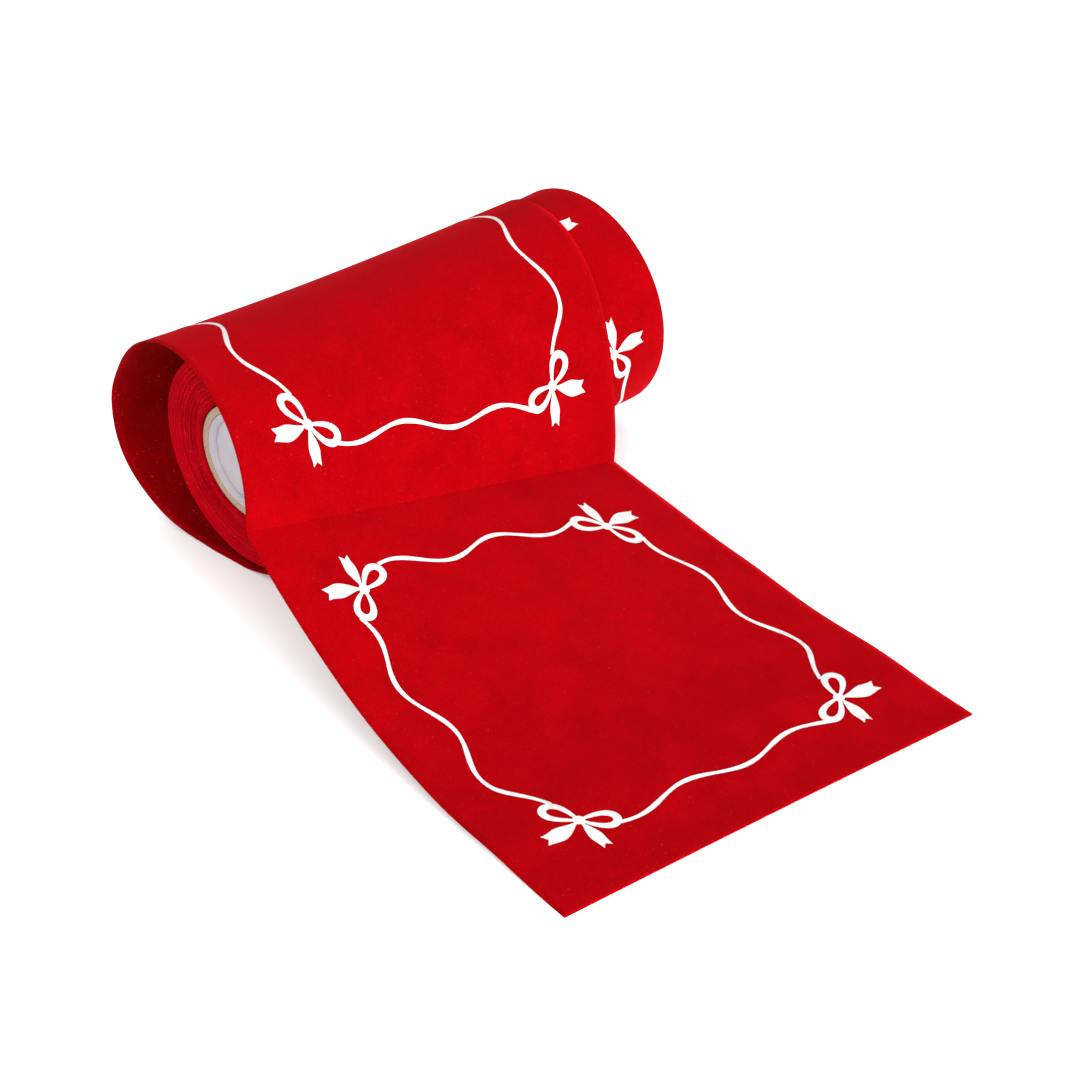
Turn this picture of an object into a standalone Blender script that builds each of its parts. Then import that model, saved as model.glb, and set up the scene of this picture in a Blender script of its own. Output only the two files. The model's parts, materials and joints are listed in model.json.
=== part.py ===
"""A roll of printed cloth on a cardboard core, with its outer turn loose and its free end laid out.

Metres, +Z up. The roll's axis lies along X, the free end runs out along -Y, and the
finished part is moved so that the origin is the centre of its underside.
"""
from math import acos, cos, pi, radians, sin, sqrt

import bmesh
import bpy
from mathutils import Matrix, Vector

# ---- driving dimensions ----------------------------------------------------------------
WIDTH = 0.300               # the cloth, and so the roll, from end to end
CLOTH = 0.0008              # thickness of one layer of cloth
GAP = 0.0003                # between pieces that touch

CORE_RADIUS = 0.0385        # outside of the cardboard tube
CORE_WALL = 0.005
CORE_RECESS = 0.0015        # the tube ends this far inside the wound cloth

PLUG_DEPTH = 0.014          # length of the plug's skirt inside the tube
PLUG_WALL = 0.0012
PLUG_FACE_DEPTH = 0.0043    # the plug's flat face lies this far inside its rim

TAPE = 0.0002               # thickness of the tape under the first turn
TAPE_LENGTH = 0.240         # along the tube
TAPE_ARC = radians(50)      # round the tube

ROLL_RADIUS_LEFT = 0.0728   # the roll is wound a little looser at its right end
ROLL_RADIUS_RIGHT = 0.0770
ROLL_SLACK = 0.0003         # more air between the roll and the turn that it lies on

TURN_LENGTH = 0.456         # loose cloth from the crease, over the roll, to its underside
LEAD_IN = 0.018             # more of it, where it starts to climb the roll's front
TURN_OVERHANG = 0.0645      # at the crease, the loose turn stands out this far past the roll
OVERHANG_POWER = 1.53       # how quickly it comes back in over the roll
# How far the loose turn stands off the roll: (angle from the roll's underside, going up its
# back and over its top, in degrees; distance in metres), at the turn's left and right edges.
LEFT_STANDOFF = (
    (-30, 0.0010), (0, 0.0050), (26, 0.0130), (49, 0.0310), (70, 0.0405), (92, 0.0350),
    (115, 0.0250), (140, 0.0213), (180, 0.0212), (217, 0.0197), (257, 0.0125),
)
RIGHT_STANDOFF = (
    (-30, 0.0010), (0, 0.0010), (26, 0.0025), (52, 0.0110), (78, 0.0200), (102, 0.0155),
    (128, 0.0035), (150, 0.0010), (212, 0.0010), (240, 0.0022), (266, 0.0098),
    (283, 0.0215), (297.6, 0.0383),
)

TAIL_LENGTH = 0.318         # cloth from the crease to the cut end
CREASE_GAP = 0.0012         # between the loose turn and the tail, along the crease
TAIL_HEADING = (radians(5.7), radians(3.8))      # left and right edges, from -Y towards -X
TOUCHDOWN = (0.286, 0.288)        # from the crease to where each edge meets the table
RAMP_POWER = (2.45, 1.45)         # how steeply each edge comes down to the table

TURN_ROWS = 46
TAIL_ROWS = 26
COLUMNS = 8
ROUND_STEPS = 96            # facets round the roll and the tube
EDGE_STEPS = 400            # fine steps used to measure along an edge

AXIS_HEIGHT = CLOTH + GAP + ROLL_SLACK + ROLL_RADIUS_RIGHT
CORE_LENGTH = WIDTH - 2 * CORE_RECESS
WOUND_INNER = CORE_RADIUS + GAP + TAPE + GAP


# ---- scene, materials and collections --------------------------------------------------
def clear_scene():
    for item in list(bpy.data.objects):
        bpy.data.objects.remove(item, do_unlink=True)


def new_collection(name):
    collection = bpy.data.collections.new(name)
    bpy.context.scene.collection.children.link(collection)
    return collection


def material(name, colour, roughness):
    mat = bpy.data.materials.new(name)
    mat.use_nodes = True
    shader = mat.node_tree.nodes["Principled BSDF"]
    shader.inputs["Base Color"].default_value = (*colour, 1.0)
    shader.inputs["Roughness"].default_value = roughness
    shader.inputs["Metallic"].default_value = 0.0
    return mat


def place(name, mesh, mat, parent=None, origin=(0.0, 0.0, 0.0)):
    """Put a mesh that is drawn in the roll's frame into the model, turning about origin."""
    mesh.transform(Matrix.Translation(-Vector(origin)))
    mesh.materials.append(mat)
    piece = bpy.data.objects.new(name, mesh)
    parts.objects.link(piece)
    piece.parent = parent
    offset = parent.location if parent else Vector()
    piece.location = Vector(origin) - offset
    return piece


# ---- turned pieces ---------------------------------------------------------------------
def turned(name, profile, closed, mat, parent):
    """Turn a profile of (radius, distance along X) about the roll's axis."""
    mesh = bpy.data.meshes.new(name)
    points = [(radius, 0.0, along) for radius, along in profile]
    edges = [(i, i + 1) for i in range(len(points) - 1)]
    if closed:
        edges.append((len(points) - 1, 0))
    mesh.from_pydata(points, edges, [])
    piece = place(name, mesh, mat, parent, parent.location)
    piece.data.transform(Matrix.Translation(parent.location))
    piece.rotation_euler = (0.0, pi / 2, 0.0)
    screw = piece.modifiers.new("turn", 'SCREW')
    screw.axis = 'Z'
    screw.steps = ROUND_STEPS
    screw.render_steps = ROUND_STEPS
    screw.use_merge_vertices = True
    screw.merge_threshold = 0.00001
    screw.use_smooth_shade = True
    return piece


def ring_profile(inner_low, inner_high, outer_low, outer_high, low, high):
    """A tube's wall: down its outer side, then up its inner side."""
    return [(outer_high, high), (outer_low, low), (inner_low, low), (inner_high, high)]


def build_core(parent, mat):
    half = CORE_LENGTH / 2
    inner = CORE_RADIUS - CORE_WALL
    profile = ring_profile(inner, inner, CORE_RADIUS, CORE_RADIUS, -half, half)
    turned("core_tube", profile, True, mat, parent)


def build_wound_cloth(parent, mat):
    half = WIDTH / 2
    profile = ring_profile(WOUND_INNER, WOUND_INNER, ROLL_RADIUS_LEFT, ROLL_RADIUS_RIGHT, -half, half)
    turned("wound_fabric", profile, True, mat, parent)


def build_plug(name, side, parent, mat):
    """A cup that fits in the tube, with its rim level with the tube's end; side is -1 or 1."""
    outer = CORE_RADIUS - CORE_WALL - GAP
    inner = outer - PLUG_WALL
    rim = CORE_LENGTH / 2
    face = rim - PLUG_FACE_DEPTH
    profile = [
        (0.0, face), (inner, face), (inner, rim), (outer, rim),
        (outer, rim - PLUG_DEPTH), (inner, rim - PLUG_DEPTH),
        (inner, face - PLUG_WALL), (0.0, face - PLUG_WALL),
    ]
    plug = turned(name, profile, False, mat, parent)
    plug.rotation_euler = (0.0, side * pi / 2, 0.0)


def build_tape(parent, mat):
    """A curved strip between the tube and the first turn, at the top of the tube."""
    steps = 12
    half = TAPE_LENGTH / 2
    middle = CORE_RADIUS + GAP + TAPE / 2
    bm = bmesh.new()
    rows = []
    for i in range(steps + 1):
        angle = TAPE_ARC * (i / steps - 0.5)
        y = middle * sin(angle)
        z = AXIS_HEIGHT + middle * cos(angle)
        rows.append([bm.verts.new((x, y, z)) for x in (-half, half)])
    for low, high in zip(rows, rows[1:]):
        bm.faces.new((low[0], low[1], high[1], high[0]))
    tape = place("start_tape", to_mesh("start_tape", bm), mat, parent, parent.location)
    thicken(tape, TAPE)


# ---- the loose cloth -------------------------------------------------------------------
def to_mesh(name, bm):
    mesh = bpy.data.meshes.new(name)
    bm.to_mesh(mesh)
    bm.free()
    return mesh


def thicken(piece, thickness):
    solidify = piece.modifiers.new("thickness", 'SOLIDIFY')
    solidify.thickness = thickness
    solidify.offset = 0.0
    solidify.use_even_offset = True


def smooth_value(points, at):
    """Read a smooth curve through (position, value) points, with a tangent at each point."""
    last = len(points) - 1
    index = max(i for i in range(last) if i == 0 or points[i][0] <= at)
    (x0, y0), (x1, y1) = points[index], points[index + 1]

    def slope(i):
        before, after = points[max(i - 1, 0)], points[min(i + 1, last)]
        return (after[1] - before[1]) / (after[0] - before[0])

    span = x1 - x0
    t = (at - x0) / span
    rise0, rise1 = slope(index) * span, slope(index + 1) * span
    return (
        y0 * (2 * t**3 - 3 * t**2 + 1) + rise0 * (t**3 - 2 * t**2 + t)
        + y1 * (3 * t**2 - 2 * t**3) + rise1 * (t**3 - t**2)
    )


def turn_edge(standoff, roll_radius):
    """An edge of the loose turn in the (y, z) plane, from the crease to under the roll."""
    first, final = standoff[-1][0], standoff[0][0]
    line = []
    for i in range(EDGE_STEPS + 1):
        degrees = first + (final - first) * i / EDGE_STEPS
        radius = roll_radius + smooth_value(standoff, degrees)
        angle = radians(degrees)
        z = AXIS_HEIGHT - radius * cos(angle)
        line.append(Vector((radius * sin(angle), max(z, CLOTH / 2))))
    return line


def tail_edge(start, heading, touchdown, power):
    """An edge of the tail from the crease to beyond its cut end, straight in plan."""
    rise = start.z - CLOTH / 2
    line = []
    for i in range(EDGE_STEPS + 1):
        distance = TAIL_LENGTH * i / EDGE_STEPS
        height = rise * max(1 - distance / touchdown, 0.0) ** power
        line.append(Vector((
            start.x - distance * sin(heading),
            start.y - distance * cos(heading),
            CLOTH / 2 + height,
        )))
    return line


def walk(line, distances):
    """Points of a polyline at the given distances along it."""
    points = []
    index = 0
    done = 0.0
    for distance in distances:
        step = (line[index + 1] - line[index]).length
        while done + step < distance and index < len(line) - 2:
            done += step
            index += 1
            step = (line[index + 1] - line[index]).length
        points.append(line[index].lerp(line[index + 1], (distance - done) / step))
    return points


def spaced(start, end, rows):
    return [start + (end - start) * i / rows for i in range(rows + 1)]


def turn_rails(distances):
    """Left and right edges of the loose turn at the given distances from the crease."""
    left_line = walk(turn_edge(LEFT_STANDOFF, ROLL_RADIUS_LEFT), distances)
    right_line = walk(turn_edge(RIGHT_STANDOFF, ROLL_RADIUS_RIGHT), distances)
    left, right = [], []
    for distance, a, b in zip(distances, left_line, right_line):
        overhang = TURN_OVERHANG * max(1 - distance / TURN_LENGTH, 0.0) ** OVERHANG_POWER
        x = -WIDTH / 2 - overhang
        across = sqrt(WIDTH**2 - (b - a).length_squared)
        left.append(Vector((x, *a)))
        right.append(Vector((x + across, *b)))
    return left, right


def tail_rails(distances):
    """Left and right edges of the tail at the given distances from the crease."""
    corners = [rail[0] for rail in turn_rails([0.0])]
    rails = []
    for corner, heading, touchdown, power in zip(corners, TAIL_HEADING, TOUCHDOWN, RAMP_POWER):
        rails.append(walk(tail_edge(corner, heading, touchdown, power), distances))
    return rails


def settled(point):
    """Lift a point of the cloth out of the roll and the table, to lie on them instead."""
    along = min(max(point.x / WIDTH + 0.5, 0.0), 1.0)
    roll_radius = ROLL_RADIUS_LEFT + (ROLL_RADIUS_RIGHT - ROLL_RADIUS_LEFT) * along
    seat = roll_radius + GAP + ROLL_SLACK + CLOTH / 2
    from_axis = Vector((0.0, point.y, point.z - AXIS_HEIGHT))
    if abs(point.x) < WIDTH / 2 and from_axis.length < seat:
        point = point + from_axis.normalized() * (seat - from_axis.length)
    return Vector((point.x, point.y, max(point.z, CLOTH / 2)))


def sheet(name, left, right, mat, parent=None, origin=(0.0, 0.0, 0.0)):
    """A layer of cloth lofted between two edges."""
    bm = bmesh.new()
    rows = []
    for a, b in zip(left, right):
        rows.append([bm.verts.new(settled(a.lerp(b, i / COLUMNS))) for i in range(COLUMNS + 1)])
    for low, high in zip(rows, rows[1:]):
        for i in range(COLUMNS):
            bm.faces.new((low[i], low[i + 1], high[i + 1], high[i]))
    piece = place(name, to_mesh(name, bm), mat, parent, origin)
    thicken(piece, CLOTH)
    return piece


def crease_hinge():
    """The fold line on the upper side of the cloth: its left end, and the way to its right end."""
    ends = []
    for turn, tail in zip(turn_rails([0.0, 0.01]), tail_rails([0.0, 0.01])):
        up = (turn[1] - turn[0]).normalized()
        out = (tail[1] - tail[0]).normalized()
        half_angle = acos(up.dot(out)) / 2
        ends.append(turn[0] + (up + out).normalized() * CLOTH / 2 / sin(half_angle))
    left, right = ends
    return left, (right - left).normalized()


def empty(name, location, parent=None):
    frame = bpy.data.objects.new(name, None)
    frame.empty_display_size = 0.05
    frame.location = location
    frame.parent = parent
    parts.objects.link(frame)
    return frame


def stand_on_origin():
    """Move everything so that the origin is the centre of the part's underside."""
    bpy.context.view_layer.update()
    depsgraph = bpy.context.evaluated_depsgraph_get()
    corners = []
    for piece in parts.objects:
        if piece.type == 'MESH':
            solid = piece.evaluated_get(depsgraph)
            corners += [solid.matrix_world @ vertex.co for vertex in solid.data.vertices]
    low = Vector(min(c[i] for c in corners) for i in range(3))
    high = Vector(max(c[i] for c in corners) for i in range(3))
    shift = Vector((-(low.x + high.x) / 2, -(low.y + high.y) / 2, -low.z))
    for piece in parts.objects:
        if piece.parent is None:
            piece.location += shift
    bpy.context.view_layer.update()


clear_scene()
parts = new_collection("cloth_roll")

cloth = material("red_cloth", (0.56, 0.005, 0.012), 0.9)
board = material("core_board", (0.55, 0.40, 0.26), 0.85)
plastic = material("plug_plastic", (0.82, 0.80, 0.84), 0.45)
adhesive = material("clear_tape", (0.85, 0.83, 0.76), 0.3)

roll = empty("roll_axis", (0.0, 0.0, AXIS_HEIGHT))
build_core(roll, board)
build_plug("end_plug_left", -1, roll, plastic)
build_plug("end_plug_right", 1, roll, plastic)
build_tape(roll, adhesive)
build_wound_cloth(roll, cloth)

turn_rows = spaced(CREASE_GAP / 2, TURN_LENGTH + LEAD_IN, TURN_ROWS)
sheet("outer_turn", *turn_rails(turn_rows), cloth)
hinge_start, hinge_direction = crease_hinge()
fold = empty("tail_fold_axis", hinge_start)
tail_rows = spaced(CREASE_GAP / 2, TAIL_LENGTH, TAIL_ROWS)
sheet("free_tail", *tail_rails(tail_rows), cloth, fold, hinge_start)
stand_on_origin()
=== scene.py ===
"""How the cloth roll looks: printed cloth, the wound turns, the cardboard core and its plugs."""
import json
from math import atan2, cos, pi, radians, sin

import bmesh
import bpy
import numpy as np
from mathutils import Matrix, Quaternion, Vector
from mathutils.geometry import delaunay_2d_cdt


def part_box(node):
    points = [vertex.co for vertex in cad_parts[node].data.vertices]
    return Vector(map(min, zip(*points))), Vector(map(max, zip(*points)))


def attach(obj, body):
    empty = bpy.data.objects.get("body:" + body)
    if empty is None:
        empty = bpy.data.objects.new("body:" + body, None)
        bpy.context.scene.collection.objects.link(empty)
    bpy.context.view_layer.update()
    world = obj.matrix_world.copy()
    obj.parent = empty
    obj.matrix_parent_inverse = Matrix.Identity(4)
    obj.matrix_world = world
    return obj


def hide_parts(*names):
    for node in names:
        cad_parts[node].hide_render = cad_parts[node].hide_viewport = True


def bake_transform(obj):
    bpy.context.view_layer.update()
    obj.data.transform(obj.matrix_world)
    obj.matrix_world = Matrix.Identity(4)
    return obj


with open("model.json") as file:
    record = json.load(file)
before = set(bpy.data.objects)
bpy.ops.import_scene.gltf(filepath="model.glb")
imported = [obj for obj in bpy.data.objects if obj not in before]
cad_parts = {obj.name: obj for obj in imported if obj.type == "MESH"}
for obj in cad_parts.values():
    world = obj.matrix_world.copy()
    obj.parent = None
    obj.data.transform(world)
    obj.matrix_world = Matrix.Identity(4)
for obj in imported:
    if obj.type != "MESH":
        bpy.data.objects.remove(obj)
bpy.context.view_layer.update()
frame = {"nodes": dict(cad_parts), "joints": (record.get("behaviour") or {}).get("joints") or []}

# ---- places and sizes, from the frame --------------------------------------------------
joints = {joint["name"]: joint for joint in frame["joints"]}
axis_x, axis_y, AXIS_HEIGHT = joints["roll_spin"]["pos_m"]
roll_low, roll_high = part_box("wound_fabric")
core_low, core_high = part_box("core_tube")
plug_low, plug_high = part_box("end_plug_left")
WIDTH = roll_high.x - roll_low.x
ROLL_RADIUS_RIGHT = (roll_high.z - roll_low.z) / 2
CORE_RADIUS = (core_high.z - core_low.z) / 2
CORE_LENGTH = core_high.x - core_low.x
PLUG_RADIUS = (plug_high.z - plug_low.z) / 2
PLUG_DEPTH = plug_high.x - plug_low.x
ROLL_CENTRE = np.array((axis_x, axis_y, 0.0))       # on the table, under the roll's middle

# ---- the cloth -------------------------------------------------------------------------
# The same values as in the CAD, except that the right edge lies closer at 128 degrees.
CLOTH = 0.0008
GAP = 0.0003
ROLL_SLACK = 0.0003
ROLL_RADIUS_LEFT = 0.0728
TURN_LENGTH = 0.456
LEAD_IN = 0.018
TURN_OVERHANG = 0.0645
OVERHANG_POWER = 1.53
LEFT_STANDOFF = (
    (-30, 0.0010), (0, 0.0050), (26, 0.0130), (49, 0.0310), (70, 0.0405), (92, 0.0350),
    (115, 0.0250), (140, 0.0213), (180, 0.0212), (217, 0.0197), (257, 0.0125),
)
RIGHT_STANDOFF = (
    (-30, 0.0010), (0, 0.0010), (26, 0.0025), (52, 0.0110), (78, 0.0200), (102, 0.0155),
    (128, 0.0016), (150, 0.0010), (212, 0.0010), (240, 0.0022), (266, 0.0098),
    (283, 0.0215), (297.6, 0.0383),
)
TAIL_LENGTH = 0.318
TAIL_HEADING = (radians(5.7), radians(3.8))
TOUCHDOWN = (0.286, 0.288)
RAMP_POWER = (2.45, 1.45)
CLOTH_LENGTH = TAIL_LENGTH + TURN_LENGTH + LEAD_IN      # shown outside the roll
MERGE_ANGLE = radians(-24)      # where the loose turn goes over into the roll

EDGE_POINTS = 401               # points that an edge's curve is worked out at
RAIL_STEP = 0.0005              # fine step along the cloth's edges
CELL = 0.0025                   # the cloth mesh's cell, along the cloth
CELL_ACROSS = 0.005

# ---- the print -------------------------------------------------------------------------
FRAME_START = 0.057             # from the cut end to the first pair of bows
FRAME_PITCH = 0.3178            # from one frame to the next
# The four bows of a frame: across the cloth, and along it from the near pair.
LEFT_NEAR, RIGHT_NEAR = (0.0553, 0.0), (0.2481, -0.001)
LEFT_FAR, RIGHT_FAR = (0.0537, 0.2075), (0.2422, 0.2025)
LOOP_REACH = 0.0216             # from the knot's middle to the middle of the loop's far stroke
NOTCH = 0.0028                  # depth of the notch in a streamer's end
LINE = 0.0027                   # width of the wavy line
WAVE = 0.079                    # length of one wave
INK = 0.00012                   # thickness of the printed white
INK_LIFT = 0.00004              # of the ink above the loose cloth
WOUND_INK_LIFT = 0.00006        # and above the wound cloth
FRAMES = 3                      # on the loose cloth, the last one in part
INK_CELL = 0.003                # cell of the ink's mesh, so that it follows the curved cloth
# How far each frame has slipped on the roll: across and along.
WOUND_SLIP = {2: (0.0103, 0.0048), 3: (-0.0020, -0.0092)}

# ---- the wound turns -------------------------------------------------------------------
WELD_REACH = 1e-6               # points closer than this are one point
TURNS = 38
ROUND_STEPS = 192
OUTSIDE_RINGS = 25              # rings of points along the roll's outside, ends included
BORE_RINGS = 5
BORE_CLEARANCE = 0.0008
# The ridge of a turn: share of its width, and how far it lies below its top (None: the gap).
RIDGE = ((0.0, None), (0.16, 0.0002), (0.50, 0.0), (0.84, 0.0002))
RIDGE_DEPTH = 0.0014            # of a turn that neither stands out nor lies back

rng = np.random.default_rng(7)


# ---- small mesh helpers ----------------------------------------------------------------
def new_object(name, verts, faces, mats, smooth=True):
    mesh = bpy.data.meshes.new(name)
    mesh.from_pydata([tuple(v) for v in verts], [], [tuple(int(i) for i in f) for f in faces])
    for mat in mats:
        mesh.materials.append(mat)
    mesh.polygons.foreach_set("use_smooth", [smooth] * len(mesh.polygons))
    mesh.validate()
    piece = bpy.data.objects.new(name, mesh)
    bpy.context.scene.collection.objects.link(piece)
    return piece


def grid_faces(rows, columns, wrap=False):
    """Quads of a grid of rows by columns of points; wrap joins the last column to the first."""
    faces = []
    for r in range(rows - 1):
        for c in range(columns if wrap else columns - 1):
            d = (c + 1) % columns
            near, far = r * columns, (r + 1) * columns
            faces.append((near + c, near + d, far + d, far + c))
    return faces


def ring_points(x, radius, angles):
    """Points round the roll's axis, with angles that count from the roll's underside."""
    x = np.broadcast_to(x, angles.shape)
    return np.stack([x, radius * np.sin(angles), AXIS_HEIGHT - radius * np.cos(angles)], 1)


def weld(piece):
    """Join points that coincide, such as both sides of the bore's seam."""
    bm = bmesh.new()
    bm.from_mesh(piece.data)
    bmesh.ops.remove_doubles(bm, verts=bm.verts, dist=WELD_REACH)
    bm.to_mesh(piece.data)
    bm.free()


def outward(piece):
    """Point all faces out of their body."""
    bm = bmesh.new()
    bm.from_mesh(piece.data)
    bmesh.ops.recalc_face_normals(bm, faces=bm.faces)
    bm.to_mesh(piece.data)
    bm.free()


# ---- the cloth's surface ---------------------------------------------------------------
def smooth_values(points, at):
    """Read a smooth curve through (position, value) points, with a tangent at each point."""
    x, y = np.array(points, float).T
    last = len(x) - 1
    ends = np.clip(np.arange(last + 1) + 1, 0, last), np.clip(np.arange(last + 1) - 1, 0, last)
    slope = (y[ends[0]] - y[ends[1]]) / (x[ends[0]] - x[ends[1]])
    i = np.clip(np.searchsorted(x, at, side="right") - 1, 0, last - 1)
    span = x[i + 1] - x[i]
    t = (at - x[i]) / span
    return (
        y[i] * (2 * t**3 - 3 * t**2 + 1) + slope[i] * span * (t**3 - 2 * t**2 + t)
        + y[i + 1] * (3 * t**2 - 2 * t**3) + slope[i + 1] * span * (t**3 - t**2)
    )


def walk(line, distances):
    """Points of a polyline at the given distances along it."""
    along = np.concatenate([[0.0], np.cumsum(np.linalg.norm(np.diff(line, axis=0), axis=1))])
    return np.stack([np.interp(distances, along, line[:, k]) for k in range(line.shape[1])], 1)


def turn_edge(standoff, roll_radius):
    """An edge of the loose turn in the (y, z) plane, from the crease to under the roll."""
    degrees = np.linspace(standoff[-1][0], standoff[0][0], EDGE_POINTS)
    radius = roll_radius + smooth_values(standoff, degrees)
    angle = np.radians(degrees)
    z = np.maximum(AXIS_HEIGHT - radius * np.cos(angle), CLOTH / 2)
    return np.stack([radius * np.sin(angle), z], 1)


def tail_edge(start, heading, touchdown, power):
    """An edge of the tail from the crease to beyond its cut end, straight in plan."""
    distance = np.linspace(0, TAIL_LENGTH, EDGE_POINTS)
    height = (start[2] - CLOTH / 2) * np.maximum(1 - distance / touchdown, 0.0) ** power
    return np.stack([
        start[0] - distance * sin(heading), start[1] - distance * cos(heading), CLOTH / 2 + height,
    ], 1)


def rails():
    """Both edges of the cloth, a point every RAIL_STEP from the cut end to under the roll."""
    beyond = np.arange(0, TURN_LENGTH + LEAD_IN + RAIL_STEP / 2, RAIL_STEP)
    left = walk(turn_edge(LEFT_STANDOFF, ROLL_RADIUS_LEFT), beyond)
    right = walk(turn_edge(RIGHT_STANDOFF, ROLL_RADIUS_RIGHT), beyond)
    x = -WIDTH / 2 - TURN_OVERHANG * np.maximum(1 - beyond / TURN_LENGTH, 0.0) ** OVERHANG_POWER
    across = np.sqrt(WIDTH**2 - ((right - left) ** 2).sum(1))
    turn = [np.column_stack([x, left]), np.column_stack([x + across, right])]
    tail_at = np.arange(TAIL_LENGTH, RAIL_STEP / 2, -RAIL_STEP)
    edges = []
    for side in (0, 1):
        line = tail_edge(turn[side][0], TAIL_HEADING[side], TOUCHDOWN[side], RAMP_POWER[side])
        edges.append(np.concatenate([walk(line, tail_at), turn[side]]))
    return edges


LEFT_RAIL, RIGHT_RAIL = rails()


def ripple(across, along):
    """Slight unevenness of cloth that lies free, in metres of height."""
    on_table = np.clip(1 - along / TAIL_LENGTH, 0, 1)
    right = 0.0004 * np.sin(along * 2 * pi / 0.085 + 0.6) * (across / WIDTH) ** 6
    left = 0.0004 * np.sin(along * 2 * pi / 0.11) * (1 - across / WIDTH) ** 6
    billow = 0.0034 * np.exp(-(((along - 0.066) / 0.036) ** 2))
    end = 0.0010 * np.exp(-((along / 0.02) ** 2)) * np.sin(pi * across / WIDTH)
    return (right + left) * np.minimum(on_table * 3, 1) + billow + end


def roll_radius_at(x):
    share = np.clip(x / WIDTH + 0.5, 0, 1)
    return ROLL_RADIUS_LEFT + (ROLL_RADIUS_RIGHT - ROLL_RADIUS_LEFT) * share


def cloth_point(across, along):
    """The middle of the loose cloth, at a distance across it and along it from its cut end."""
    at = np.clip(along / RAIL_STEP, 0, len(LEFT_RAIL) - 1.001)
    i = at.astype(int)
    t = (at - i)[:, None]
    left = LEFT_RAIL[i] * (1 - t) + LEFT_RAIL[i + 1] * t
    right = RIGHT_RAIL[i] * (1 - t) + RIGHT_RAIL[i + 1] * t
    share = (across / WIDTH)[:, None]
    points = left * (1 - share) + right * share
    points[:, 2] += ripple(across, along)
    seat = roll_radius_at(points[:, 0]) + GAP + ROLL_SLACK + CLOTH / 2
    y, z = points[:, 1], points[:, 2] - AXIS_HEIGHT
    distance = np.hypot(y, z)
    push = np.where(np.abs(points[:, 0]) < WIDTH / 2 + 0.002, np.maximum(seat / distance, 1.0), 1.0)
    points[:, 1] = y * push
    points[:, 2] = np.maximum(AXIS_HEIGHT + z * push, CLOTH / 2)
    return points


def roll_point(across, along):
    """A point on the wound cloth's outside, where the loose turn goes on into the roll."""
    x = across - WIDTH / 2
    angle = -(along - TAIL_LENGTH - TURN_LENGTH) / ROLL_RADIUS_RIGHT
    radius = outside_radius(x, angle)
    return ring_points(x, radius, angle)


def outside_radius(x, angle):
    """The roll's outside is a spiral: it steps out by one turn where the loose cloth joins it."""
    turned = ((angle - MERGE_ANGLE) / (2 * pi)) % 1.0
    return roll_radius_at(x) - (1 - turned) * CLOTH


def lifted(surface, across, along, height):
    """A point at a height above the printed side of a surface."""
    step = 0.0004
    point = surface(across, along)
    right = surface(across + step, along) - surface(across - step, along)
    forward = surface(across, along + step) - surface(across, along - step)
    normal = np.cross(right, forward)
    normal /= np.linalg.norm(normal, axis=1)[:, None]
    return point + normal * height


# ---- the print: bows at the corners of a wavy frame ------------------------------------
def ribbon(centre, half_width):
    """Quads of a stroke along centre, with its own half width at each point."""
    tangent = np.gradient(centre, axis=0)
    tangent /= np.linalg.norm(tangent, axis=1)[:, None]
    normal = np.stack([-tangent[:, 1], tangent[:, 0]], 1)
    width = np.asarray(half_width)[:, None]
    low, high = centre - normal * width, centre + normal * width
    return [np.array((low[i], low[i + 1], high[i + 1], high[i])) for i in range(len(centre) - 1)]


def bow_loop(lean):
    """A hollow loop from the knot: a teardrop stroke, thin at the knot and full at its end."""
    t = np.linspace(0, 2 * pi, 41)
    reach = LOOP_REACH / 2 * (1 - np.cos(t))
    swell = 0.0046 * np.sin(t) * (1 - np.cos(t)) ** 0.6
    centre = np.stack([
        reach * cos(lean) - swell * sin(lean), reach * sin(lean) + swell * cos(lean),
    ], 1)
    return ribbon(centre, 0.0006 + 0.0018 * ((1 - np.cos(t)) / 2) ** 0.75)


def bow_streamer(lean, bend, width, length, root=0.0005):
    """A ribbon end that widens outwards and is cut with a notch."""
    steps = 14
    t = np.linspace(0, 1, steps)
    angle = lean + bend * t
    centre = np.cumsum(np.stack([np.cos(angle), np.sin(angle)], 1), 0) * length / steps
    half = root + (width / 2 - root) * np.sin(np.minimum(t * 1.4, 1.0) * pi / 2) ** 1.5
    half *= 1 - 0.24 * np.clip((t - 0.68) / 0.32, 0, 1)
    tangent = np.gradient(centre, axis=0)
    tangent /= np.linalg.norm(tangent, axis=1)[:, None]
    side = np.stack([-tangent[:, 1], tangent[:, 0]], 1) * half[:, None]
    low, high = centre - side, centre + side
    tips = np.array((low[-1], high[-1])) + tangent[-1] * NOTCH
    return [np.concatenate([low, tips[:1], centre[-1:], tips[1:], high[::-1]])]


def bow():
    """A bow with its knot at the origin and its streamers towards -Y, the broad one at -X."""
    shapes = bow_loop(pi / 2 - radians(76)) + bow_loop(pi / 2 + radians(76))
    shapes += bow_streamer(radians(-90 - 26), radians(-22), 0.0106, 0.0242)
    shapes += bow_streamer(radians(-90 + 44), radians(4), 0.0078, 0.0226)
    ring = np.linspace(0, 2 * pi, 17)[:-1]
    shapes.append(np.stack([0.0036 * np.cos(ring), 0.0034 * np.sin(ring)], 1))
    return shapes


def turned_shapes(shapes, angle, mirror, at):
    c, s = cos(angle), sin(angle)
    matrix = np.array(((c, -s), (s, c)))
    if mirror:
        matrix = matrix @ np.array(((-1, 0), (0, 1)))
    return [shape @ matrix.T + np.array(at) for shape in shapes]


def ease(value):
    value = np.clip(value, 0, 1)
    return value * value * (3 - 2 * value)


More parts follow.
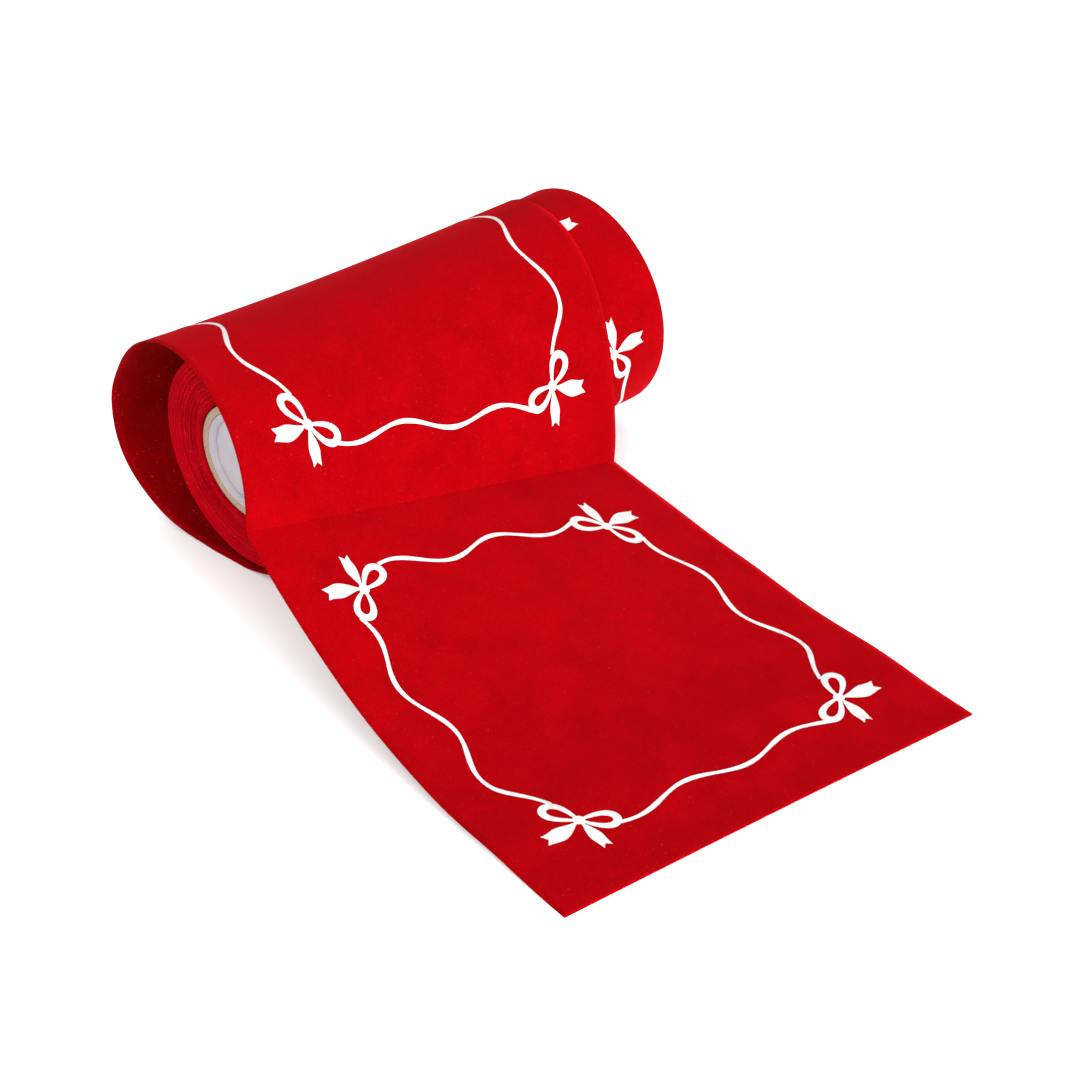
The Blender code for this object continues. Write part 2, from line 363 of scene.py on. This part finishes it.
def frame_line(first, second, out, stand, swing, crest, start, end, lead=0.0):
    """A wavy line between two bows: it stands outside their knots, and waves along its length."""
    first, second = np.array(first), np.array(second)
    length = np.linalg.norm(second - first)
    way = (second - first) / length
    along = np.arange(start, length - end, 0.002)
    offset = stand + swing * np.cos(2 * pi * (along - crest) / WAVE)
    if lead:
        offset = offset * ease(along / lead)
    centre = first + way * along[:, None] + np.array(out) * offset[:, None]
    return ribbon(centre, LINE / 2 + 0.0002 * np.sin(along * 190))


def frame_shapes(start):
    """One printed frame, with its near bows at a distance start along the cloth."""
    corners = [np.array(c) + (0, start) for c in (LEFT_NEAR, RIGHT_NEAR, LEFT_FAR, RIGHT_FAR)]
    near_left, near_right, far_left, far_right = corners
    one_bow = bow()
    shapes = []
    for at, outwards, mirror in (
        (near_left, -135, False), (near_right, -45, True),
        (far_left, 135, True), (far_right, 45, False),
    ):
        shapes += turned_shapes(one_bow, radians(outwards + 90), mirror, at)
    shapes += frame_line(
        near_left, near_right, (0, -1),
        stand=0.0112, swing=0.0042, crest=0.030, start=0.0185, end=0.016,
    )
    shapes += frame_line(
        far_left, far_right, (0, 1),
        stand=0.0108, swing=0.0052, crest=0.030, start=0.0200, end=0.016,
    )
    shapes += frame_line(
        near_left, far_left, (-1, 0),
        stand=0.0176, swing=0.0055, crest=0.058, start=0.0196, end=0.0178, lead=0.050,
    )
    shapes += frame_line(
        near_right, far_right, (1, 0),
        stand=0.0176, swing=0.0050, crest=0.058, start=0.0196, end=0.0160, lead=0.050,
    )
    return shapes


def flat_mesh(shapes):
    """Join overlapping flat outlines into one mesh of triangles.

    A grid of points goes in as well, so that no triangle is too large for the curved cloth.
    """
    points, outlines = [], []
    for shape in shapes:
        turning = np.roll(shape, -1, axis=0)
        area = (shape[:, 0] * turning[:, 1] - turning[:, 0] * shape[:, 1]).sum()
        if abs(area) < 1e-10:
            continue
        ring = shape if area > 0 else shape[::-1]
        outlines.append(list(range(len(points), len(points) + len(ring))))
        points += [Vector(p) * 1000 for p in ring]
    low, high = np.min([s.min(0) for s in shapes], 0), np.max([s.max(0) for s in shapes], 0)
    across, along = np.meshgrid(*(np.arange(low[k], high[k], INK_CELL) for k in (0, 1)))
    points += [Vector(p) * 1000 for p in zip(across.ravel(), along.ravel())]
    verts, _, faces, _, _, inside = delaunay_2d_cdt(points, [], outlines, 1, 0.01)
    return np.array([tuple(v) for v in verts]) / 1000, [f for f, of in zip(faces, inside) if of]


def print_piece(name, shapes, surface, base, low, high, body):
    """Ink on a surface, between two distances along the cloth."""
    flat, faces = flat_mesh(shapes)
    middle = np.array([flat[list(f)].mean(0)[1] for f in faces])
    kept = [f for f, m in zip(faces, middle) if low <= m <= high]
    used = sorted({i for f in kept for i in f})
    renumber = {old: new for new, old in enumerate(used)}
    kept = [tuple(renumber[i] for i in f) for f in kept]
    flat = flat[used]
    count = len(flat)
    under = lifted(surface, flat[:, 0], flat[:, 1], base)
    over = lifted(surface, flat[:, 0], flat[:, 1], base + INK)
    edges = {}
    for f in kept:
        for a, b in zip(f, f[1:] + f[:1]):
            edges[(a, b)] = edges.get((a, b), 0) + 1
    walls = [(a, b, b + count, a + count) for a, b in edges if (b, a) not in edges]
    all_faces = [tuple(i + count for i in f) for f in kept] + [f[::-1] for f in kept] + walls
    points = np.concatenate([under, over]) + ROLL_CENTRE
    piece = new_object(name, points, all_faces, [ink], smooth=False)
    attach(piece, body)


# ---- materials -------------------------------------------------------------------------
class Nodes:
    """Short names for building a material's nodes."""

    def __init__(self, name):
        self.mat = bpy.data.materials.new(name)
        self.mat.use_nodes = True
        self.tree = self.mat.node_tree
        self.shader = self.tree.nodes["Principled BSDF"]

    def add(self, kind, **values):
        node = self.tree.nodes.new(kind)
        for key, value in values.items():
            if hasattr(node, key):
                setattr(node, key, value)
            else:
                node.inputs[key.replace("_", " ")].default_value = value
        return node

    def link(self, source, target):
        self.tree.links.new(source, target)

    def coordinates(self, scale=(1, 1, 1), kind="Object", shift=(0, 0, 0)):
        place = self.add("ShaderNodeTexCoord")
        mapping = self.add("ShaderNodeMapping")
        mapping.inputs["Scale"].default_value = scale
        mapping.inputs["Location"].default_value = shift
        self.link(place.outputs[kind], mapping.inputs["Vector"])
        return mapping.outputs["Vector"]

    def noise(self, vector, scale, detail=3.0, roughness=0.55):
        node = self.add("ShaderNodeTexNoise", Scale=scale, Detail=detail, Roughness=roughness)
        self.link(vector, node.inputs["Vector"])
        return node.outputs["Fac"]

    def ramp(self, source, stops):
        node = self.add("ShaderNodeValToRGB")
        elements = node.color_ramp.elements
        while len(elements) < len(stops):
            elements.new(0.5)
        for element, (position, colour) in zip(elements, stops):
            element.position = position
            element.color = (*colour, 1.0)
        self.link(source, node.inputs["Fac"])
        return node.outputs["Color"]

    def mix(self, share, a, b):
        node = self.add("ShaderNodeMix", data_type='RGBA')
        sockets = [s for s in node.inputs if s.type == 'RGBA']
        for socket, value in ((node.inputs[0], share), (sockets[0], a), (sockets[1], b)):
            if isinstance(value, bpy.types.NodeSocket):
                self.link(value, socket)
            elif socket.type == 'RGBA':
                socket.default_value = (*value, 1.0)
            else:
                socket.default_value = value
        return [s for s in node.outputs if s.type == 'RGBA'][0]

    def maths(self, operation, a, b=0.0):
        node = self.add("ShaderNodeMath", operation=operation)
        for socket, value in zip(node.inputs, (a, b)):
            if isinstance(value, bpy.types.NodeSocket):
                self.link(value, socket)
            else:
                socket.default_value = value
        return node.outputs[0]

    def bump(self, height, strength, distance, below=None):
        node = self.add("ShaderNodeBump", Strength=strength, Distance=distance)
        self.link(height, node.inputs["Height"])
        if below is not None:
            self.link(below, node.inputs["Normal"])
        return node.outputs["Normal"]

    def set(self, **values):
        for key, value in values.items():
            self.shader.inputs[key.replace("_", " ")].default_value = value


def cloth_material(name, deep, bright, lint, painted_ring_shade=0.0, sparse=0.735, sheen=0.0):
    """Brushed fine weave: threads both ways, a short nap and a little lint.

    The ring argument is how strongly rings of painted light and shade go up and down round the
    roll's axis on the roll's ends, standing in for lit ridges and shaded gaps between turns; the
    higher sparse is, the fewer specks of lint there are.
    """
    n = Nodes(name)
    n.set(Roughness=1.0, Sheen_Weight=sheen, Sheen_Roughness=0.5, Specular_IOR_Level=0.03)
    n.shader.inputs["Sheen Tint"].default_value = (1.0, 0.004, 0.014, 1.0)
    n.shader.inputs["Specular Tint"].default_value = (1.0, 0.10, 0.14, 1.0)
    flat = n.coordinates(kind="UV")
    solid = n.coordinates()
    warp, weft = (
        n.add("ShaderNodeTexWave", bands_direction=way, Scale=scale, Distortion=1.2, Detail=1.0)
        for way, scale in (('X', 520.0), ('Y', 480.0))
    )
    for wave in (warp, weft):
        n.link(flat, wave.inputs["Vector"])
    threads = n.maths('MULTIPLY', warp.outputs["Fac"], weft.outputs["Fac"])
    nap = n.noise(solid, 1000.0, 4.0, 0.75)
    cloudy = n.noise(solid, 38.0, 5.0, 0.6)
    tone = n.maths('ADD', n.maths('MULTIPLY', cloudy, 0.3), n.maths('MULTIPLY', nap, 0.7))
    # painted light and shade: lighter and darker rings round the roll's axis, for lit ridges and
    # shaded gaps
    if painted_ring_shade:
        centred = n.coordinates(shift=(-axis_x, -axis_y, -AXIS_HEIGHT))
        rings = n.add(
            "ShaderNodeTexWave", wave_type='RINGS', rings_direction='X',
            Scale=118.0, Distortion=2.6, Detail=3.0, Detail_Scale=0.6,
        )
        n.link(centred, rings.inputs["Vector"])
        swing = n.maths('MULTIPLY', n.maths('SUBTRACT', rings.outputs["Fac"], 0.5), painted_ring_shade)
        tone = n.maths('ADD', tone, swing)
    colour = n.ramp(tone, ((0.40, deep), (0.60, bright)))
    specks = n.noise(solid, 900.0, 2.0, 0.5)
    speck = n.ramp(specks, ((sparse, (0, 0, 0)), (sparse + 0.03, (1, 1, 1))))
    colour = n.mix(n.maths('MULTIPLY', speck, lint), colour, (0.80, 0.30, 0.30))
    n.link(colour, n.shader.inputs["Base Color"])
    height = n.maths('ADD', n.maths('MULTIPLY', threads, 0.5), nap)
    normal = n.bump(cloudy, 0.25, 0.0012)
    n.link(n.bump(height, 0.5, 0.00022, normal), n.shader.inputs["Normal"])
    return n.mat


def ink_material():
    n = Nodes("white_ink")
    n.set(Roughness=0.75, Specular_IOR_Level=0.25)
    solid = n.coordinates()
    fine = n.noise(solid, 1200.0, 3.0, 0.6)
    worn = n.noise(solid, 260.0, 4.0, 0.6)
    colour = n.ramp(worn, ((0.30, (0.29, 0.25, 0.25)), (0.46, (0.335, 0.33, 0.33))))
    n.link(colour, n.shader.inputs["Base Color"])
    n.link(n.bump(fine, 0.35, 0.0001), n.shader.inputs["Normal"])
    return n.mat


def board_material():
    """Grey-brown board with fibres and blotches."""
    n = Nodes("core_board")
    n.set(Roughness=0.9, Specular_IOR_Level=0.2)
    solid = n.coordinates()
    fibres = n.noise(n.coordinates(scale=(0.35, 1, 1)), 900.0, 4.0, 0.65)
    blotch = n.noise(solid, 160.0, 4.0, 0.6)
    colour = n.ramp(fibres, (
        (0.30, (0.112, 0.072, 0.046)), (0.52, (0.225, 0.164, 0.111)), (0.75, (0.310, 0.238, 0.173)),
    ))
    colour = n.mix(n.maths('MULTIPLY', blotch, 0.35), colour, (0.272, 0.204, 0.152))
    n.link(colour, n.shader.inputs["Base Color"])
    n.link(n.bump(fibres, 0.6, 0.0004), n.shader.inputs["Normal"])
    return n.mat


def plug_material():
    n = Nodes("plug_plastic")
    n.set(Roughness=0.5, Specular_IOR_Level=0.35)
    solid = n.coordinates()
    soft = n.noise(solid, 70.0, 3.0, 0.5)
    grain = n.noise(solid, 1400.0, 2.0, 0.5)
    colour = n.ramp(soft, ((0.35, (0.238, 0.212, 0.232)), (0.65, (0.260, 0.232, 0.254))))
    n.link(colour, n.shader.inputs["Base Color"])
    n.link(n.bump(grain, 0.12, 0.0001), n.shader.inputs["Normal"])
    return n.mat


def tape_material():
    n = Nodes("clear_tape")
    n.set(Roughness=0.3)
    streak = n.noise(n.coordinates(scale=(0.2, 1, 1)), 300.0)
    colour = n.ramp(streak, ((0.3, (0.25, 0.23, 0.18)), (0.7, (0.29, 0.28, 0.24))))
    n.link(colour, n.shader.inputs["Base Color"])
    return n.mat


def floor_material():
    n = Nodes("pale_floor")
    n.set(Roughness=0.9, Specular_IOR_Level=0.1)
    n.shader.inputs["Base Color"].default_value = (0.80, 0.80, 0.80, 1.0)
    return n.mat


# ---- pieces ----------------------------------------------------------------------------
def make_loose_cloth():
    """One length of cloth from the cut end, over the fold and round the roll."""
    rows = np.concatenate([
        np.arange(0, TAIL_LENGTH - CELL / 2, CELL),
        np.arange(TAIL_LENGTH, CLOTH_LENGTH - CELL / 2, CELL),
        [CLOTH_LENGTH],
    ])
    columns = np.linspace(0, WIDTH, int(WIDTH / CELL_ACROSS) + 1)
    along, across = np.meshgrid(rows, columns, indexing="ij")
    points = cloth_point(across.ravel(), along.ravel()) + ROLL_CENTRE
    faces = grid_faces(len(rows), len(columns))
    piece = new_object("printed_cloth", points, faces, [cloth, cloth_back])
    crease = int(np.argmin(np.abs(rows - TAIL_LENGTH)))
    for edge in piece.data.edges:
        if all(v // len(columns) == crease for v in edge.vertices):
            edge.use_edge_sharp = True
    layer = piece.data.uv_layers.new(name="cloth")
    index = np.zeros(len(piece.data.loops), int)
    piece.data.loops.foreach_get("vertex_index", index)
    layer.data.foreach_set("uv", np.stack([across.ravel()[index], along.ravel()[index]], 1).ravel())
    solidify = piece.modifiers.new("thickness", 'SOLIDIFY')
    solidify.thickness = CLOTH
    solidify.offset = 0.0
    solidify.use_even_offset = True
    solidify.material_offset = 1            # the underside has the back's material
    solidify.material_offset_rim = 1
    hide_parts("outer_turn", "free_tail")
    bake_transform(piece)


def axial_offset(turn_angle):
    """How far each turn stands out of the roll's end, along the spiral, in metres."""
    turn = turn_angle / (2 * pi)
    groups = 0.0007 * np.sin(turn * 1.9 + 0.8) + 0.0004 * np.sin(turn * 0.83 + 2.0)
    each = np.interp(turn, np.arange(TURNS + 2), rng.normal(0, 0.00035, TURNS + 2))
    drift = 0.00025 * np.sin(turn_angle * 0.37 + 1.0) + 0.00012 * np.sin(turn_angle * 2.2)
    return groups + each + drift


def end_points(side, radius_out):
    """The roll's end: each turn of the spiral is a rounded ridge with a dark gap beside it."""
    inner = CORE_RADIUS + BORE_CLEARANCE
    pitch = (radius_out - inner) / TURNS
    angles = np.linspace(0, 2 * pi, ROUND_STEPS + 1)
    rows, depth = [], []
    for turn in range(TURNS):
        stand = axial_offset(angles + 2 * pi * turn)
        gap = 0.0007 + 0.0016 * (rng.random() < 0.2)
        for share, drop in RIDGE:
            radius = inner + pitch * (turn + share + (angles / (2 * pi) - 1) * (turn > 0))
            rows.append(np.maximum(radius, inner))
            depth.append(np.maximum(RIDGE_DEPTH - stand, 0.0) + (gap if drop is None else drop))
    rows.append(inner + pitch * (TURNS + angles / (2 * pi) - 1))
    depth.append(depth[-1] + 0.0003)
    turned = angles + MERGE_ANGLE
    return [
        ring_points(side * (WIDTH / 2 - down), radius, turned) for radius, down in zip(rows, depth)
    ]


def make_wound_cloth():
    """The wound turns: two ridged ends, the spiral outside and the bore."""
    left = end_points(-1, ROLL_RADIUS_LEFT)
    right = end_points(1, ROLL_RADIUS_RIGHT)
    angles = np.linspace(0, 2 * pi, ROUND_STEPS + 1) + MERGE_ANGLE
    outside = []
    for x in np.linspace(-WIDTH / 2, WIDTH / 2, OUTSIDE_RINGS)[1:-1]:
        radius = roll_radius_at(x) - (1 - (angles - MERGE_ANGLE) / (2 * pi)) * CLOTH
        outside.append(ring_points(x, radius, angles))
    bore = []
    for x in np.linspace(WIDTH / 2, -WIDTH / 2, BORE_RINGS)[1:-1]:
        bore.append(ring_points(x, CORE_RADIUS + BORE_CLEARANCE, angles))
    loops = left + outside + right[::-1] + bore
    columns = ROUND_STEPS + 1
    points = np.concatenate(loops) + ROLL_CENTRE
    faces = grid_faces(len(loops), columns)
    last = (len(loops) - 1) * columns
    faces += [(last + c, last + c + 1, c + 1, c) for c in range(ROUND_STEPS)]
    for r in range(len(loops)):             # the step where the spiral begins and ends
        s = (r + 1) % len(loops)
        here, there = r * columns, s * columns
        faces.append((here, there, there + ROUND_STEPS, here + ROUND_STEPS))
    # the roll's ends get the brighter cloth that carries painted light and shade
    piece = new_object("wound_cloth", points, faces, [cloth, cut_edges_painted_light])
    ends = len(left)
    material = np.zeros(len(piece.data.polygons), np.int32)
    for poly in piece.data.polygons:
        row = min(poly.vertices) // columns
        inside_left = row < ends - 2
        inside_right = ends + len(outside) < row < ends + len(outside) + ends - 1
        material[poly.index] = 1 if inside_left or inside_right else 0
    piece.data.polygons.foreach_set("material_index", material)
    weld(piece)
    outward(piece)
    add_wrapped_uv(piece)
    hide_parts("wound_fabric")
    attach(piece, "roll")


def add_wrapped_uv(piece):
    """A map in metres for the weave: along the roll, and round it."""
    layer = piece.data.uv_layers.new(name="cloth")
    for poly in piece.data.polygons:
        middle = poly.center - Vector(ROLL_CENTRE) - Vector((0, 0, AXIS_HEIGHT))
        base = atan2(middle.y, -middle.z)
        for loop in poly.loop_indices:
            point = piece.data.vertices[piece.data.loops[loop].vertex_index].co
            local = point - Vector(ROLL_CENTRE) - Vector((0, 0, AXIS_HEIGHT))
            angle = atan2(local.y, -local.z)
            angle += 2 * pi * round((base - angle) / (2 * pi))
            layer.data[loop].uv = (local.x + WIDTH / 2, angle * ROLL_RADIUS_RIGHT)


def lathe(name, profile, mat, steps=128, kink=None):
    """Turn a closed profile of (radius, x) about the roll's axis; kink moves points inwards."""
    angles = np.linspace(0, 2 * pi, steps + 1)[:-1]
    rows = []
    for index, (radius, x) in enumerate(profile):
        ring = np.full(steps, radius)
        if kink is not None:
            ring = ring - kink(index, angles)
        rows.append(ring_points(x, ring, angles))
    points = np.concatenate(rows) + ROLL_CENTRE
    faces = grid_faces(len(rows), steps, wrap=True)
    last = (len(rows) - 1) * steps
    faces += [(last + c, last + (c + 1) % steps, (c + 1) % steps, c) for c in range(steps)]
    piece = new_object(name, points, faces, [mat])
    outward(piece)
    return piece


def round_corners(corners, radius, steps=3):
    """Replace each corner of a closed outline by a small arc."""
    corners = [np.array(c, float) for c in corners]
    outline = []
    for i, corner in enumerate(corners):
        before, after = corners[i - 1] - corner, corners[(i + 1) % len(corners)] - corner
        cut = min(radius, np.linalg.norm(before) * 0.45, np.linalg.norm(after) * 0.45)
        a = corner + before / np.linalg.norm(before) * cut
        b = corner + after / np.linalg.norm(after) * cut
        for t in np.linspace(0, 1, steps):
            outline.append((1 - t) ** 2 * a + 2 * t * (1 - t) * corner + t**2 * b)
    return outline


def make_core():
    """The cardboard tube, with soft rims."""
    inner = PLUG_RADIUS + GAP
    half = CORE_LENGTH / 2
    corners = [(CORE_RADIUS, half), (CORE_RADIUS, -half), (inner, -half), (inner, half)]
    profile = round_corners(corners, 0.0006)
    piece = lathe("cardboard_core", profile, board, 160)
    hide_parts("core_tube")
    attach(piece, "roll")


PLUG_KINK = radians(84)         # where it is, round the plug
FACE_DEPTH = 0.0030             # of the plug's face below its rim
RIM_BAND = 0.0040               # width of the sloping band between rim and face
PINHOLE = 0.0004                # radius of the hole that the lathe leaves on the axis
KINK_DEPTH = 0.0010
KINKED = range(18, 27)          # points of the plug's outline that the kink moves


def plug_kink(index, angles):
    """A shallow fold at the foot of the plug's band, at one place round it."""
    away = (angles - PLUG_KINK + pi) % (2 * pi) - pi
    jog = np.clip(1 - np.abs(away) / radians(6), 0, 1) + 0.35 * np.clip(away / radians(20), 0, 1)
    return jog * (KINK_DEPTH if index in KINKED else 0.0)


def make_plug(name, node, side):
    """A thin moulded cup pressed into the tube, with a sloping band round its sunk face."""
    rim = CORE_LENGTH / 2
    wall = 0.0012
    inner, foot = PLUG_RADIUS - wall, PLUG_RADIUS - RIM_BAND
    corners = [
        (PLUG_RADIUS, 0.0), (PLUG_RADIUS, PLUG_DEPTH), (inner, PLUG_DEPTH),
        (inner, FACE_DEPTH + wall), (PINHOLE, FACE_DEPTH + wall), (PINHOLE, FACE_DEPTH),
        (foot - 0.0010, FACE_DEPTH), (foot - 0.0004, FACE_DEPTH + 0.0006),
        (foot, FACE_DEPTH - 0.0006), (PLUG_RADIUS - 0.0009, 0.0),
    ]
    outline = round_corners(corners, 0.0005)
    profile = [(radius, side * (rim - depth)) for radius, depth in outline]
    piece = lathe(name, profile, plug, 128, plug_kink)
    fill_axis(piece)
    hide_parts(node)
    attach(piece, "roll")


def fill_axis(piece):
    """Close the pinhole that the lathe leaves on the axis."""
    bm = bmesh.new()
    bm.from_mesh(piece.data)
    axis = Vector((0, axis_y, AXIS_HEIGHT))
    near = {v for v in bm.verts if (Vector((0, v.co.y, v.co.z)) - axis).length < PINHOLE * 1.5}
    wall = [f for f in bm.faces if all(v in near for v in f.verts)]
    bmesh.ops.delete(bm, geom=wall, context='FACES_ONLY')
    loose = [e for e in bm.edges if e.is_boundary]
    bmesh.ops.holes_fill(bm, edges=loose, sides=0)
    bmesh.ops.recalc_face_normals(bm, faces=bm.faces)
    bm.to_mesh(piece.data)
    bm.free()


# ---- the fold: its line, and the way across it towards the front -----------------------
crease_left, crease_right = (rail[int(TAIL_LENGTH / RAIL_STEP)] for rail in (LEFT_RAIL, RIGHT_RAIL))
crease_way = (crease_right - crease_left) / np.linalg.norm(crease_right - crease_left)
forward = np.array((0.0, -1.0, 0.0))
forward -= crease_way * forward.dot(crease_way)
forward /= np.linalg.norm(forward)

cloth = cloth_material(
    "red_cloth", (0.101, 0.0001, 0.0006), (0.162, 0.0001, 0.0012), lint=0.10, sheen=0.30,
)
cloth_back = cloth_material(
    "cloth_back", (0.095, 0.0001, 0.0007), (0.200, 0.0002, 0.0015), lint=0.30, sparse=0.712,
)
# The roll's ends: the red cloth at about twice its brightness, as painted light on the ends, with
# rings of painted light and shade.
cut_edges_painted_light = cloth_material(
    "cut_edges_painted_light", (0.170, 0.0004, 0.0022), (0.325, 0.0012, 0.0055),
    lint=0.30, painted_ring_shade=0.14, sparse=0.715,
)
ink = ink_material()
board = board_material()
plug = plug_material()
frame["nodes"]["start_tape"].data.materials.clear()
frame["nodes"]["start_tape"].data.materials.append(tape_material())

make_wound_cloth()
make_loose_cloth()
make_core()
make_plug("plug_left", "end_plug_left", -1)
make_plug("plug_right", "end_plug_right", 1)

PRINT_HEIGHT = CLOTH / 2 + INK_LIFT
merge_along = TAIL_LENGTH + TURN_LENGTH - MERGE_ANGLE * ROLL_RADIUS_RIGHT
for number in range(FRAMES):
    start = FRAME_START + number * FRAME_PITCH
    print_piece(
        f"print_{number + 1}", frame_shapes(start), cloth_point, PRINT_HEIGHT,
        start - 0.05, CLOTH_LENGTH - 0.004, "tail" if number == 0 else "lead",
    )
for number, slip in WOUND_SLIP.items():
    start = FRAME_START + number * FRAME_PITCH + slip[1]
    shapes = [shape + (slip[0], 0) for shape in frame_shapes(start)]
    print_piece(
        f"print_wound_{number + 1}", shapes, roll_point, WOUND_INK_LIFT,
        merge_along + 0.002, start + 0.25, "roll",
    )


# ---- floor, light and camera -----------------------------------------------------------
def area_light(name, place, target, size, power, spread=180):
    data = bpy.data.lights.new(name, 'AREA')
    data.shape = 'DISK'
    data.size = size
    data.energy = power
    data.spread = radians(spread)
    light = bpy.data.objects.new(name, data)
    light.location = place
    light.rotation_mode = 'QUATERNION'
    light.rotation_quaternion = (Vector(target) - Vector(place)).to_track_quat('-Z', 'Y')
    bpy.context.scene.collection.objects.link(light)


def make_stage():
    bpy.ops.mesh.primitive_plane_add(size=8.0, location=(0, 0, 0))
    floor = bpy.context.object
    floor.name = "floor"
    floor.data.materials.append(floor_material())
    world = bpy.data.worlds.new("studio")
    bpy.context.scene.world = world
    world.use_nodes = True
    world.node_tree.nodes["Background"].inputs["Color"].default_value = (1.0, 1.0, 1.0, 1.0)
    world.node_tree.nodes["Background"].inputs["Strength"].default_value = 1.38
    area_light("key", (-0.4, -2.3, 0.50), (0.03, 0.15, 0.14), 1.2, 18, 50)
    area_light("fill", (-1.9, -1.1, 0.80), (0, 0, 0.05), 1.8, 50)
    area_light("top", (0.1, 0.9, 2.2), (0, 0, 0), 2.6, 36)


def make_camera():
    """Long lens, from the front left and above."""
    data = bpy.data.cameras.new("camera")
    data.sensor_width = 36.0
    data.lens = 101.20
    camera = bpy.data.objects.new("camera", data)
    turn, fall, bank = radians(44.575), radians(34.063), radians(-0.150)
    camera.location = Vector((-1.12715, -1.25478, 1.08942)) + Vector(ROLL_CENTRE)
    look = Vector((sin(turn) * cos(fall), cos(turn) * cos(fall), -sin(fall)))
    camera.rotation_mode = 'QUATERNION'
    camera.rotation_quaternion = look.to_track_quat('-Z', 'Y') @ Quaternion((0, 0, 1), bank)
    bpy.context.scene.collection.objects.link(camera)
    bpy.context.scene.camera = camera


make_stage()
make_camera()
bpy.context.scene.view_settings.view_transform = 'Standard'
